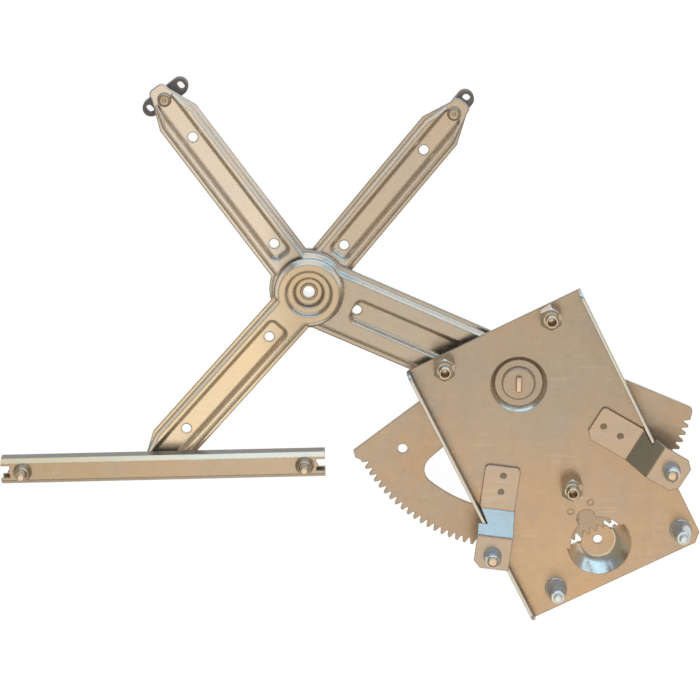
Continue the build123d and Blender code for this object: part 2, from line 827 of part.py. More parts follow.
with BuildPart() as upper_cross_arm:
    with BuildSketch(frame_at(hub_at, right_angle, upper_web_back)):
        Polygon(*blade(arm_half_width, tip_half_width, right_reach, right_reach + tip_centre), align=None)
        with Locations((right_reach + tip_centre, 0)):
            RectangleRounded(2 * (tip_reach - tip_centre), 2 * tip_half_width, tip_round)
        Circle(hub_flange)
    extrude(amount=arm_sheet)
    add(upper_front)
    add(upper_hollow, mode=Mode.SUBTRACT)
    with BuildSketch(Plane.XY.offset(upper_web_back - 1)):
        with Locations(hub_at):
            Circle(eyelet_radius + press_gap)
        with Locations(right_at):
            Circle(pin_radius + press_gap)
        for distance in right_holes:
            with Locations(reach(hub_at, right_angle, distance)):
                Circle(tool_hole)
    extrude(amount=3 * rib_height, mode=Mode.SUBTRACT)
upper_cross_arm.part.label = "upper_cross_arm"
export_step(upper_cross_arm.part, "parts/upper_cross_arm.step")

# Lower half of the cross arm, in front, with a stepped well at the hub
lower_tip_half = lower_web_half + rib_slope
lower_blades = ((hub_at, lower_angle, blade(lower_rib_half, lower_tip_half, lower_reach, lower_reach)),)
lower_discs = ((hub_at, front_hub_crest + rib_slope),)
lower_sinks = ((hub_at, lower_angle, recess_start, lower_reach + past_tip, lower_web_half),)
lower_front = ribs(lower_web_front, 0, lower_blades, lower_discs, lower_sinks)
lower_hollow = ribs(lower_web_back, skin_shift, lower_blades, lower_discs, lower_sinks)
well_border = hub_step + well_slope + well_flat
well_skin = arm_sheet * tan((pi / 2 - atan2(well_slope, hub_step_depth)) / 2)

with BuildPart() as hub_well_pan:
    with BuildSketch(Plane.XZ):
        with BuildLine():
            Polyline(
                (well_border, lower_crest_front),
                (hub_step, lower_crest_front),
                (hub_step - well_slope, step_front),
                (hub_well, step_front),
                (hub_well - well_slope, well_front),
                (eyelet_radius + press_gap, well_front),
                (eyelet_radius + press_gap, well_back),
                (hub_well - well_slope + well_skin, well_back),
                (hub_well + well_skin, step_front - arm_sheet),
                (hub_step - well_slope + well_skin, step_front - arm_sheet),
                (hub_step + well_skin, lower_crest_front - arm_sheet),
                (well_border, lower_crest_front - arm_sheet),
                close=True,
            )
        make_face()
    revolve(axis=Axis.Z)

with BuildPart() as lower_cross_arm:
    with BuildSketch(frame_at(hub_at, lower_angle, lower_web_back)):
        Polygon(*blade(lower_half_width, tip_half_width, lower_reach, lower_reach + tip_centre), align=None)
        with Locations((lower_reach + tip_centre, 0)):
            RectangleRounded(2 * (tip_reach - tip_centre), 2 * tip_half_width, tip_round)
        Circle(front_hub_flange)
    extrude(amount=arm_sheet)
    add(lower_front)
    add(lower_hollow, mode=Mode.SUBTRACT)
    with BuildSketch(Plane.XY.offset(lower_web_back - 1)):
        with Locations(hub_at):
            Circle(well_border)
        with Locations(lower_at):
            Circle(pin_radius + press_gap)
        for distance in lower_holes:
            with Locations(reach(hub_at, lower_angle, distance)):
                Circle(tool_hole)
    extrude(amount=3 * rib_height, mode=Mode.SUBTRACT)
    add(hub_well_pan.part.moved(Location((hub_at[0], hub_at[1], 0))))
lower_cross_arm.part.label = "lower_cross_arm"
export_step(lower_cross_arm.part, "parts/lower_cross_arm.step")

# Hub: hollow rivet, bush and washer
with BuildPart() as hub_eyelet:
    with BuildSketch(Plane(origin=(hub_at[0], hub_at[1], 0), x_dir=(1, 0, 0), z_dir=(0, -1, 0))):
        with BuildLine():
            Polyline(
                (eyelet_bore, well_front + eyelet_head_height),
                (eyelet_head - eyelet_chamfer, well_front + eyelet_head_height),
                (eyelet_head, well_front + eyelet_head_height - eyelet_chamfer),
                (eyelet_head, well_front),
                (eyelet_radius, well_front),
                (eyelet_radius, upper_hub_back),
                (eyelet_head, upper_hub_back),
                (eyelet_head, upper_hub_back - eyelet_head_height),
                (eyelet_bore, upper_hub_back - eyelet_head_height),
                close=True,
            )
        make_face()
    revolve(axis=Axis((hub_at[0], hub_at[1], 0), (0, 0, 1)))
hub_eyelet.part.label = "hub_eyelet"
export_step(hub_eyelet.part, "parts/hub_eyelet.step")

with BuildPart() as hub_bush:
    with BuildSketch(Plane.XY.offset(upper_crest_front)):
        with Locations(hub_at):
            Circle(bush_flange)
    extrude(amount=bush_height - play)
    with BuildSketch(Plane.XY.offset(upper_crest_front)):
        with Locations(hub_at):
            Circle(hub_bearing - run_fit)
    extrude(amount=lift_crest_front + play - upper_crest_front)
    with BuildSketch(Plane.XY.offset(upper_crest_front)):
        with Locations(hub_at):
            Circle(eyelet_radius + press_gap)
    extrude(amount=lift_crest_front + play - upper_crest_front, mode=Mode.SUBTRACT)
hub_bush.part.label = "hub_bush"
export_step(hub_bush.part, "parts/hub_bush.step")

with BuildPart() as hub_washer:
    with BuildSketch(Plane.XY.offset(lift_crest_front + play)):
        with Locations(hub_at):
            Circle(hub_washer_radius)
            Circle(eyelet_radius + press_gap, mode=Mode.SUBTRACT)
    extrude(amount=hub_washer_sheet)
hub_washer.part.label = "hub_washer"
export_step(hub_washer.part, "parts/hub_washer.step")

# Left slider pin and its spacer, on the lift arm
shoe_seat = shoe_back + shoe_recess  # the floor of the recess that takes a pin's tail
with BuildPart() as left_slider_pin:
    with BuildSketch(Plane.XY.offset(lift_web_front)):
        with Locations(left_at):
            Circle(pin_head)
    extrude(amount=pin_head_height)
    fillet(faces().sort_by(Axis.Z)[-1].edges(), head_dome * pin_head_height)
    with BuildSketch(Plane.XY.offset(shoe_seat - play)):
        with Locations(left_at):
            Circle(pin_radius)
    extrude(amount=lift_web_front - shoe_seat + play)
    with BuildSketch(Plane.XY.offset(shoe_seat - play - pin_tail_height)):
        with Locations(left_at):
            Circle(pin_tail)
    extrude(amount=pin_tail_height)
left_slider_pin.part.label = "left_slider_pin"
export_step(left_slider_pin.part, "parts/left_slider_pin.step")

with BuildPart() as slider_spacer:
    with BuildSketch(Plane.XY.offset(shoe_front + play)):
        with Locations(left_at):
            Circle(spacer_radius)
            Circle(pin_radius + press_gap, mode=Mode.SUBTRACT)
    extrude(amount=lift_web_back - shoe_front - play)
slider_spacer.part.label = "slider_spacer"
export_step(slider_spacer.part, "parts/slider_spacer.step")

# Right slider pin, on the upper half of the cross arm
with BuildPart() as right_slider_pin:
    with BuildSketch(Plane.XY.offset(upper_web_front)):
        with Locations(right_at):
            Circle(pin_head)
    extrude(amount=right_head_height)
    fillet(faces().sort_by(Axis.Z)[-1].edges(), head_dome * right_head_height)
    with BuildSketch(Plane.XY.offset(shoe_seat - play)):
        with Locations(right_at):
            Circle(pin_radius)
    extrude(amount=upper_web_front - shoe_seat + play)
    with BuildSketch(Plane.XY.offset(shoe_seat - play - pin_tail_height)):
        with Locations(right_at):
            Circle(pin_tail)
    extrude(amount=pin_tail_height)
right_slider_pin.part.label = "right_slider_pin"
export_step(right_slider_pin.part, "parts/right_slider_pin.step")


# Plastic sliders of the glass channel: a block with an open loop at each end
def slider_shoe(point, angle):
    """A slider with rounded ends, a loop at each end and a recess for the tail of its pin."""
    with BuildPart() as shoe:
        with BuildSketch(frame_at(point, angle, shoe_back)):
            SlotOverall(shoe_length, shoe_width)
            with Locations((shoe_eye, 0), (-shoe_eye, 0)):
                RectangleRounded(shoe_eye_length, shoe_eye_width, shoe_eye_round, mode=Mode.SUBTRACT)
            Circle(pin_radius + run_fit, mode=Mode.SUBTRACT)
        extrude(amount=shoe_height)
        with BuildSketch(frame_at(point, angle, shoe_back)):
            Circle(pin_tail + slider_head_play)
        extrude(amount=shoe_recess, mode=Mode.SUBTRACT)
    return shoe.part


left_slider = slider_shoe(left_at, left_shoe_angle)
left_slider.label = "left_slider"
export_step(left_slider, "parts/left_slider.step")
right_slider = slider_shoe(right_at, right_shoe_angle)
right_slider.label = "right_slider"
export_step(right_slider, "parts/right_slider.step")

# Equaliser rail: a C section with bevelled shoulders and two inturned lips
rail_half = rail_width / 2
rail_skin = rail_sheet * (sqrt(2) - 1)
lip_edge = rail_half - rail_sheet - rail_lip
rail_section = []
for y, z in (
    (lip_edge, 0),
    (rail_half, 0),
    (rail_half, rail_depth - rail_bevel),
    (rail_half - rail_bevel, rail_depth),
):
    rail_section.append((y, z))
for y, z in rail_section[::-1]:
    rail_section.append((-y, z))
inner_section = []
for y, z in (
    (lip_edge, rail_sheet),
    (rail_half - rail_sheet, rail_sheet),
    (rail_half - rail_sheet, rail_depth - rail_bevel - rail_skin),
    (rail_half - rail_bevel - rail_skin, rail_depth - rail_sheet),
):
    inner_section.append((-y, z))
for y, z in inner_section[::-1]:
    inner_section.append((-y, z))
rail_start = reach(lower_at, rail_angle, -rail_left)
rail_length = rail_left + rail_right
rail_turn = radians(rail_angle)
tongue_centre = notch_depth - tongue_rise + tongue_radius

with BuildPart() as rail:
    rail_end_plane = Plane(
        origin=(rail_start[0], rail_start[1], rail_back),
        x_dir=(-sin(rail_turn), cos(rail_turn), 0),
        z_dir=(cos(rail_turn), sin(rail_turn), 0),
    )
    with BuildSketch(rail_end_plane):
        Polygon(*rail_section, *inner_section, align=None)
    extrude(amount=rail_length)
    with BuildSketch(frame_at(rail_start, rail_angle, rail_front - rail_sheet)):
        with Locations((notch_depth / 2, 0), (rail_length - notch_depth / 2, 0)):
            Rectangle(notch_depth, notch_width)
        with Locations((tongue_centre, 0), (rail_length - tongue_centre, 0)):
            Circle(tongue_radius, mode=Mode.SUBTRACT)
    extrude(amount=rail_sheet, mode=Mode.SUBTRACT)
rail.part.label = "rail"
export_step(rail.part, "parts/rail.step")

# Rail studs: the same form as the pins of the brackets, a little longer
with BuildPart() as rail_pin:
    with BuildSketch(Plane.XZ):
        with BuildLine():
            Polyline(
                (0, rail_pin_length),
                (0, 0),
                (pin_base, 0),
                (pin_base, pin_base_height),
                (pin_body, pin_base_height),
                (pin_body, rail_pin_length - pin_dome),
            )
            RadiusArc((pin_body, rail_pin_length - pin_dome), (0, rail_pin_length), -dome_radius)
        make_face()
    revolve(axis=Axis.Z)

left_stud_at = reach(lower_at, rail_angle, -rail_stud_left)
right_stud_at = reach(lower_at, rail_angle, rail_stud_right)
with BuildPart() as rail_studs:
    add(rail_pin.part.moved(Location((left_stud_at[0], left_stud_at[1], rail_front))))
    add(rail_pin.part.moved(Location((right_stud_at[0], right_stud_at[1], rail_front))))
rail_studs.part.label = "rail_studs"
export_step(rail_studs.part, "parts/rail_studs.step")

# Slider in the rail, and its pin on the lower half of the cross arm
block_half = rail_half - rail_sheet - slide_fit
block_back = rail_back + rail_sheet + slide_fit
block_front = rail_front - rail_sheet - slide_fit
block_bevel = rail_bevel - (2 - sqrt(2)) * (rail_sheet + slide_fit)
block_recess = slider_head_depth + slider_head_height
with BuildPart() as lower_slider:
    with BuildSketch(
        Plane(
            origin=(lower_at[0], lower_at[1], block_back),
            x_dir=(-sin(rail_turn), cos(rail_turn), 0),
            z_dir=(cos(rail_turn), sin(rail_turn), 0),
        )
    ):
        Polygon(
            (-block_half, 0),
            (block_half, 0),
            (block_half, block_front - block_back - block_bevel),
            (block_half - block_bevel, block_front - block_back),
            (block_bevel - block_half, block_front - block_back),
            (-block_half, block_front - block_back - block_bevel),
            align=None,
        )
    extrude(amount=slider_length / 2, both=True)
    with BuildSketch(Plane.XY.offset(lower_web_front + play)):
        with Locations(lower_at):
            Circle(slider_neck)
    extrude(amount=block_back - lower_web_front - play)
    with BuildSketch(Plane.XY.offset(lower_web_front)):
        with Locations(lower_at):
            Circle(pin_radius + run_fit)
    extrude(amount=rail_front - lower_web_front, mode=Mode.SUBTRACT)
    with BuildSketch(Plane.XY.offset(block_front - block_recess)):
        with Locations(lower_at):
            Circle(pin_tail + slider_head_play)
    extrude(amount=block_recess, mode=Mode.SUBTRACT)
lower_slider.part.label = "lower_slider"
export_step(lower_slider.part, "parts/lower_slider.step")

with BuildPart() as lower_slider_pin:
    with BuildSketch(Plane.XY.offset(lower_web_back - slider_tail_height)):
        with Locations(lower_at):
            Circle(pin_head)
    extrude(amount=slider_tail_height)
    with BuildSketch(Plane.XY.offset(lower_web_back)):
        with Locations(lower_at):
            Circle(pin_radius)
    extrude(amount=block_front - block_recess + play - lower_web_back)
    with BuildSketch(Plane.XY.offset(block_front - block_recess + play)):
        with Locations(lower_at):
            Circle(pin_tail)
    extrude(amount=slider_head_height)
lower_slider_pin.part.label = "lower_slider_pin"
export_step(lower_slider_pin.part, "parts/lower_slider_pin.step")

print("hub", hub_at, "left", left_at, "right", right_at, "lower", lower_at, "pivot", pivot_at)
print("levels", plate_front, sector_front, lift_web_back, lower_crest_front, upper_web_back, shoe_back, rail_front)
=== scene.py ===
# %% [markdown]
# # Dressing a window regulator in Blender
# The frame comes first: solids of every steel and plastic piece, already in place, in metres.
# This lesson gives them the finish of the real thing: yellow zinc plating on pressed sheet, bright
# zinc on turned pins and nuts, and dull plastic on the sliders.
# A CAD mesh has knife-sharp edges, and real pressed sheet never does, so most pieces are rebuilt
# as softened copies, and the turned and hexagonal ones are modelled anew from primitives.

# %% Load the frame and measure it
import json
import math

import bpy
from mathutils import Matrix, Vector


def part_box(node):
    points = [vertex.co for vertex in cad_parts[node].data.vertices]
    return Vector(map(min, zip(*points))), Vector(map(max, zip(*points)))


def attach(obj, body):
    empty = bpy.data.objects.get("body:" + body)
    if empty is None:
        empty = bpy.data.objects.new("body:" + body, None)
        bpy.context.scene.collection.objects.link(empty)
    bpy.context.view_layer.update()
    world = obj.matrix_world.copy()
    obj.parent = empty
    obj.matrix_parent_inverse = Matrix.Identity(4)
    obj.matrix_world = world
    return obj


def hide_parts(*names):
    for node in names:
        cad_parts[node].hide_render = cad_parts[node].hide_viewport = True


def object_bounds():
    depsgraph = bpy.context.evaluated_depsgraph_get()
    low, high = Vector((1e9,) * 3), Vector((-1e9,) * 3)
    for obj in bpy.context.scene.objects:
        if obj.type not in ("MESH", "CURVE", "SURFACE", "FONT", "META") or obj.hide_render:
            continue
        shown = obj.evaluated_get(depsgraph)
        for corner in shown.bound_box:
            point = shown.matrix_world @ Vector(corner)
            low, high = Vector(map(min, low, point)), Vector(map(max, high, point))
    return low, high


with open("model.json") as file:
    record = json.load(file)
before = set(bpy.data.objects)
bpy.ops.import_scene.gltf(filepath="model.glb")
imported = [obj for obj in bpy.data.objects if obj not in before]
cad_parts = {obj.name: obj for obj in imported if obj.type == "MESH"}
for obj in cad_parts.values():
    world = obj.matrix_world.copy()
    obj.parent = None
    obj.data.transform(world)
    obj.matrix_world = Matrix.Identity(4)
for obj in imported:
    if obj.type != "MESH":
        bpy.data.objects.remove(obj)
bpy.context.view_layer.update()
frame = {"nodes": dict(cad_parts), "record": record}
bpy.ops.object.select_all(action="DESELECT")
bpy.context.scene.view_settings.view_transform = "Standard"

# %% Places that the record gives
MM = 0.001
mounts = {mount["name"]: Vector(mount["pos_m"]) for mount in frame["record"]["mounts"]}
joints = {joint["name"]: joint for joint in frame["record"]["behaviour"]["joints"]}
pivot = Vector(joints["lift_hinge"]["pos_m"])
hub = Vector(joints["cross_hinge"]["pos_m"])
print("lift pivot", tuple(pivot), "hub", tuple(hub))

# %% [markdown]
# ## Camera
# The photograph looks down on the regulator, 15.5 degrees off the plate's own normal, from well
# over a metre away with a long lens. A camera without rotation looks straight down and has +Y
# upwards, so one small turn about X is all it needs. It aims at the middle of the photograph.

# %% Camera
TILT = math.radians(15.5)
AIM = Vector((-0.16002, 0.12916, 0.0087))
DISTANCE = 1.70
SENSOR_MM = 36.0
LENS_MM = 138.75
bpy.ops.object.camera_add(
    location=AIM + DISTANCE * Vector((0, math.sin(TILT), math.cos(TILT))),
    rotation=(-TILT, 0, 0),
)
camera = bpy.context.object
camera.name = "camera"
camera.data.sensor_width = SENSOR_MM
camera.data.lens = LENS_MM
bpy.context.scene.camera = camera
print("camera at", tuple(round(v, 3) for v in camera.location))

# %% [markdown]
# ## Floor
# The floor is a pale sheet just under the lowest slider. Rays that come straight from the camera,
# or by way of a mirror or glass, see it nearly white. All other light finds a dull pale sheet, so
# the object keeps its soft shadow. The same few helpers build the nodes of every material here.


# %% Helpers for shader nodes
def cleared(owner):
    """Turns on the nodes of a material or a world, takes the first ones away, gives the tree."""
    owner.use_nodes = True
    owner.node_tree.nodes.clear()
    return owner.node_tree


def feed(tree, socket, value):
    """Links an input to another node's output, or gives it a plain number or colour."""
    if isinstance(value, bpy.types.NodeSocket):
        tree.links.new(value, socket)
    elif socket.type == "RGBA":
        socket.default_value = (*value, 1)
    else:
        socket.default_value = value


def added(tree, kind, inputs):
    """Adds a node and feeds its inputs, which are given by name or by number."""
    node = tree.nodes.new(kind)
    for key, value in inputs.items():
        feed(tree, node.inputs[key], value)
    return node


def calculated(tree, operation, a, b):
    """The result of one sum on two values."""
    node = tree.nodes.new("ShaderNodeMath")
    node.operation = operation
    feed(tree, node.inputs[0], a)
    feed(tree, node.inputs[1], b)
    return node.outputs[0]


# %% Floor
CLEARANCE = 0.6 * MM
FLOOR_SIZE = 3.4
PALE = (0.93, 0.93, 0.93)
WHITE = (1, 1, 1)
GLOW = 1.04
GLOW_SHARE = 0.93
floor_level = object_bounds()[0][2] - CLEARANCE
bpy.ops.mesh.primitive_plane_add(size=FLOOR_SIZE, location=(AIM.x, AIM.y, floor_level))
floor = bpy.context.object
floor.name = "floor"
floor_look = bpy.data.materials.new("pale floor")
tree = cleared(floor_look)
rays = tree.nodes.new("ShaderNodeLightPath").outputs
seen = calculated(tree, "MAXIMUM", rays["Is Camera Ray"], rays["Is Transmission Ray"])
seen = calculated(tree, "MAXIMUM", seen, rays["Is Glossy Ray"])
share = calculated(tree, "MULTIPLY", seen, GLOW_SHARE)
sheet = added(tree, "ShaderNodeBsdfDiffuse", {"Color": PALE})
glow = added(tree, "ShaderNodeEmission", {"Color": WHITE, "Strength": GLOW})
blend = added(tree, "ShaderNodeMixShader", {0: share, 1: sheet.outputs[0], 2: glow.outputs[0]})
added(tree, "ShaderNodeOutputMaterial", {"Surface": blend.outputs[0]})
floor.data.materials.append(floor_look)
print("floor at", round(floor_level, 4))

# %% [markdown]
# ## Light
# Plated sheet shows the room more than it shows its own colour. In the photograph the slopes that
# face the top of the picture are bright and bluish, so a bluish window stands low behind it. Flat
# sheet is a little warmer and lighter towards the bottom, so a warm lamp hangs above the near
# side. The lamps are large and soft, at a plain level.

# %% Lamps
MIDDLE = Vector((-0.16, 0.13, 0))
for name, location, size, power, color in (
    ("overhead panel", (-0.15, 0.45, 1.9), (1.9, 1.1), 5.0, (1.0, 0.985, 0.97)),
    ("warm panel", (-0.25, -0.72, 1.85), (1.8, 1.3), 8.0, (1.0, 0.95, 0.87)),
    ("window", (0.15, 1.75, 0.50), (3.2, 0.9), 25.0, (0.34, 0.64, 1.0)),
    ("side panel", (1.5, 0.1, 0.7), (1.0, 0.8), 1.5, (1.0, 0.95, 0.88)),
):
    bpy.ops.object.light_add(type="AREA", location=location)
    lamp = bpy.context.object
    lamp.name = name
    lamp.data.shape = "RECTANGLE"
    lamp.data.size, lamp.data.size_y = size
    lamp.data.energy = power
    lamp.data.color = color
    lamp.rotation_euler = (MIDDLE - lamp.location).to_track_quat("-Z", "Y").to_euler()
    print(name, "of", power, "W")

# %% [markdown]
# ## Room
# The world stands for the room that the plating mirrors: dull and slightly green to the left, a
# little lighter to the right, bluish towards the window and warmer overhead. Each colour is laid
# over the last one along an axis of the direction looked in. The camera itself sees white.


# %% Helpers for ranges and mixtures
def ranged(tree, value, low, high, to_low=0.0, to_high=1.0, smooth=False):
    """Stretches the range from low to high to new ends, evenly or in a smooth step."""
    node = tree.nodes.new("ShaderNodeMapRange")
    if smooth:
        node.interpolation_type = "SMOOTHSTEP"
    for name, given_value in (
        ("Value", value),
        ("From Min", low),
        ("From Max", high),
        ("To Min", to_low),
        ("To Max", to_high),
    ):
        feed(tree, node.inputs[name], given_value)
    return node.outputs["Result"]


def mixed(tree, factor, a, b, mode="MIX"):
    """Mixes a second colour into a first one."""
    node = tree.nodes.new("ShaderNodeMix")
    node.data_type = "RGBA"
    node.blend_type = mode
    feed(tree, node.inputs["Factor"], factor)
    feed(tree, node.inputs["A"], a)
    feed(tree, node.inputs["B"], b)
    return node.outputs["Result"]


# %% World
ROOM_STRENGTH = 0.7
world = bpy.data.worlds.new("room")
tree = cleared(world)
spot = tree.nodes.new("ShaderNodeTexCoord")
axes = added(tree, "ShaderNodeSeparateXYZ", {0: spot.outputs["Generated"]})
room = (0.50, 0.54, 0.46)
for axis, low, high, color in (
    ("X", 0.2, 0.9, (0.60, 0.61, 0.58)),
    ("Y", 0.35, 0.85, (0.40, 0.56, 0.80)),
    ("Z", 0.45, 0.9, (0.62, 0.59, 0.54)),
):
    share = ranged(tree, axes.outputs[axis], low, high, smooth=True)
    room = mixed(tree, share, room, color)
seen = tree.nodes.new("ShaderNodeLightPath").outputs["Is Camera Ray"]
lit = added(tree, "ShaderNodeBackground", {"Color": room, "Strength": ROOM_STRENGTH})
white = added(tree, "ShaderNodeBackground", {"Color": WHITE})
blend = added(tree, "ShaderNodeMixShader", {0: seen, 1: lit.outputs[0], 2: white.outputs[0]})
added(tree, "ShaderNodeOutputWorld", {"Surface": blend.outputs[0]})
bpy.context.scene.world = world
print("world has", len(tree.nodes), "nodes")

# %% [markdown]
# ## Plating
# Yellow zinc plating isn't one colour: the passivation layer is a little thicker here and thinner
# there, so patches lean to pink, olive or grey, over a fine grain from the rolled sheet. Handling
# leaves faint scuffs. All metal shares that effect, so it is a node group, placed in each material
# with its own colours. The group only gives a colour, a roughness and a height. Metallic is the
# same all over a surface, so it is set on the shader itself.

# %% Plating group
plating = bpy.data.node_groups.new("zinc plating", "ShaderNodeTree")
for direction, kind, names in (
    ("INPUT", "NodeSocketColor", ("Base", "Warm", "Cool")),
    ("INPUT", "NodeSocketFloat", ("Patch Scale", "Grain Scale", "Roughness", "Mottle", "Scuffs")),
    ("OUTPUT", "NodeSocketColor", ("Color",)),
    ("OUTPUT", "NodeSocketFloat", ("Roughness", "Height")),
):
    for name in names:
        plating.interface.new_socket(name, in_out=direction, socket_type=kind)
given = plating.nodes.new("NodeGroupInput").outputs
where = plating.nodes.new("ShaderNodeTexCoord").outputs["Object"]
print("plating group takes", len(given) - 1, "values")


# %% Sums and noise of the group
def times(a, b):
    """Multiplies two values of the group."""
    return calculated(plating, "MULTIPLY", a, b)


def plus(a, b):
    """Adds two values of the group."""
    return calculated(plating, "ADD", a, b)


def noise(scale_from, factor, detail, rough, low, high, streak=None):
    """Noise whose scale is a multiple of a group input, its range from low to high stretched to
    0 and 1. A streak is an angle and a share: the noise is turned and drawn out by them."""
    place = where
    if streak is not None:
        turn, squeeze = streak
        stretched = added(
            plating,
            "ShaderNodeMapping",
            {"Vector": where, "Rotation": (0, 0, turn), "Scale": (squeeze, 1, 1)},
        )
        place = stretched.outputs["Vector"]
    scale = times(given[scale_from], factor)
    texture = added(
        plating,
        "ShaderNodeTexNoise",
        {"Vector": place, "Scale": scale, "Detail": detail, "Roughness": rough},
    )
    return ranged(plating, texture.outputs["Fac"], low, high)


# %% Patches, grain and scuffs
broad = noise("Patch Scale", 1.0, detail=3.0, rough=0.55, low=0.35, high=0.65)
second = noise("Patch Scale", 1.9, detail=4.0, rough=0.6, low=0.40, high=0.70)
fine = noise("Grain Scale", 1.0, detail=2.0, rough=0.6, low=0.3, high=0.7)
cloud = noise("Patch Scale", 9.0, detail=5.0, rough=0.65, low=0.35, high=0.65)
# Scuffs: two fields of short thin streaks, each kept only in a few patches
streak_one = noise("Grain Scale", 0.5, 1.0, 0.5, low=0.63, high=0.70, streak=(0.5, 0.06))
streak_two = noise("Grain Scale", 0.4, 1.0, 0.5, low=0.64, high=0.71, streak=(-0.9, 0.05))
patch_one = noise("Patch Scale", 3.1, detail=2.0, rough=0.5, low=0.52, high=0.62)
patch_two = noise("Patch Scale", 2.3, detail=2.0, rough=0.5, low=0.54, high=0.64)
scuffs = plus(times(streak_one, patch_one), times(streak_two, patch_two))
scuffs = times(scuffs, given["Scuffs"])
print("scuffs and patches made from", len(plating.nodes), "nodes")

# %% Colour, roughness and height of the plating
GRAIN_SHADE = {"to_low": 0.93, "to_high": 1.05}
GLOSS_CHANGE = {"to_low": -0.05, "to_high": 0.06}
SCUFF_COLOR = (0.80, 0.76, 0.70)
GRAIN_RISE, SCUFF_RISE = 0.5, -0.5
color = mixed(plating, times(broad, given["Mottle"]), given["Base"], given["Warm"])
color = mixed(plating, times(second, given["Mottle"]), color, given["Cool"])
shade = ranged(plating, times(fine, cloud), 0.0, 1.0, **GRAIN_SHADE)
speck = added(plating, "ShaderNodeCombineColor", {"Red": shade, "Green": shade, "Blue": shade})
color = mixed(plating, 1.0, color, speck.outputs[0], "MULTIPLY")
color = mixed(plating, scuffs, color, SCUFF_COLOR)
roughness = plus(given["Roughness"], ranged(plating, cloud, 0.0, 1.0, **GLOSS_CHANGE))
height = plus(times(fine, GRAIN_RISE), times(scuffs, SCUFF_RISE))
added(plating, "NodeGroupOutput", {"Color": color, "Roughness": roughness, "Height": height})
print("plating group has", len(plating.nodes), "nodes")

# %% [markdown]
# ## Materials
# Every steel finish is the plating group with its own base colour, from which the warm and cool
# patches follow. A fade can carry the base over to a second colour along an axis. On the plate the
# fade is painted light: the sheet is lighter and warmer towards the bottom and darker towards the
# top. On the arms it makes them lighter to the left of the hub, and on the rail a little lighter
# towards its right end. Bends and edges that catch the light get painted highlights: the dish, the
# flange's edge, the rib flanks and the rail's upper bend. The rail's back wall gets painted shade.
# These are given later to single faces. A Bevel node rounds the shading of the last sharp corners.
# It is left out on small turned pieces, where it only adds noise.

# %% A helper for plated materials
LEANS = {"Base": (1, 1, 1), "Warm": (1.07, 0.96, 0.86), "Cool": (0.90, 0.97, 1.10)}
GRAIN_DEPTH = 0.2 * MM
BEVEL_SAMPLES = 8


def leaning(color, lean):
    """A colour with each channel scaled by its lean."""
    return tuple(channel * share for channel, share in zip(color, lean))


def plated(
    name, base, roughness, metallic, patch=18.0, grain=900.0, mottle=0.5, bump=0.02, scuff=0.08,
    soft=0.8 * MM, fade=None,
):
    """A material whose colour, roughness and grain come from the plating group."""
    look = bpy.data.materials.new(name)
    look.use_nodes = True
    tree = look.node_tree
    coat = tree.nodes.new("ShaderNodeGroup")
    coat.node_tree = plating
    if fade is not None:
        axis, start, end, other = fade
        spot = tree.nodes.new("ShaderNodeTexCoord")
        axes = added(tree, "ShaderNodeSeparateXYZ", {0: spot.outputs["Object"]})
        along = ranged(tree, axes.outputs[axis], start, end, smooth=True)
    for socket, lean in LEANS.items():
        color = leaning(base, lean)
        if fade is not None:
            color = mixed(tree, along, color, leaning(other, lean))
        feed(tree, coat.inputs[socket], color)
    for socket, value in (
        ("Patch Scale", patch),
        ("Grain Scale", grain),
        ("Roughness", roughness),
        ("Mottle", mottle),
        ("Scuffs", scuff),
    ):
        feed(tree, coat.inputs[socket], value)
    relief = added(
        tree,
        "ShaderNodeBump",
        {"Strength": bump, "Distance": GRAIN_DEPTH, "Height": coat.outputs["Height"]},
    )
    if soft > 0:
        bend = added(tree, "ShaderNodeBevel", {"Radius": soft})
        bend.samples = BEVEL_SAMPLES
        feed(tree, relief.inputs["Normal"], bend.outputs["Normal"])
    shader = tree.nodes["Principled BSDF"]
    shader.inputs["Metallic"].default_value = metallic
    feed(tree, shader.inputs["Base Color"], coat.outputs["Color"])
    feed(tree, shader.inputs["Roughness"], coat.outputs["Roughness"])
    feed(tree, shader.inputs["Normal"], relief.outputs["Normal"])
    print("material", name)
    return look


# %% Finishes of pressed sheet
ARM = {"roughness": 0.28, "metallic": 0.9, "soft": 1.8 * MM}
# The plate's fade along Y is painted light: lighter and warmer towards the bottom, darker towards
# the top.
plate_zinc = plated(
    "plate zinc", (0.50, 0.35, 0.22), 0.30, 0.85, mottle=0.9,
    fade=("Y", -0.02, 0.13, (0.375, 0.305, 0.225)),
)
lift_zinc = plated(
    "lift arm zinc", (0.42, 0.355, 0.275), fade=("X", -0.190, -0.215, (0.64, 0.56, 0.46)), **ARM
)
upper_zinc = plated("upper arm zinc", (0.50, 0.405, 0.305), **ARM)
lower_zinc = plated(
    "lower arm zinc", (0.50, 0.40, 0.275), fade=("X", -0.190, -0.225, (0.70, 0.57, 0.39)), **ARM
)
sector_zinc = plated("sector zinc", (0.45, 0.34, 0.235), 0.34, 0.75, patch=26.0, mottle=0.9)
bracket_zinc = plated("bracket zinc", (0.44, 0.345, 0.255), 0.26, 0.9)
rail_zinc = plated(
    "rail zinc", (0.41, 0.31, 0.20), 0.28, 0.9, fade=("X", -0.36, -0.20, (0.45, 0.35, 0.25))
)

# %% Painted highlights, painted shade and clinch marks for single faces
# Painted highlight: a bright colour on the rail's upper bend, which faces the window.
rail_bend_highlight = plated(
    "rail bend painted highlight", (0.85, 0.56, 0.28), 0.35, 0.3, fade=("X", -0.36, -0.22, (1.0, 0.76, 0.50))
)
# Painted shade: a dark colour on the rail's back wall.
rail_wall_shade = plated("rail wall painted shade", (0.24, 0.21, 0.17), 0.4, 0.6)
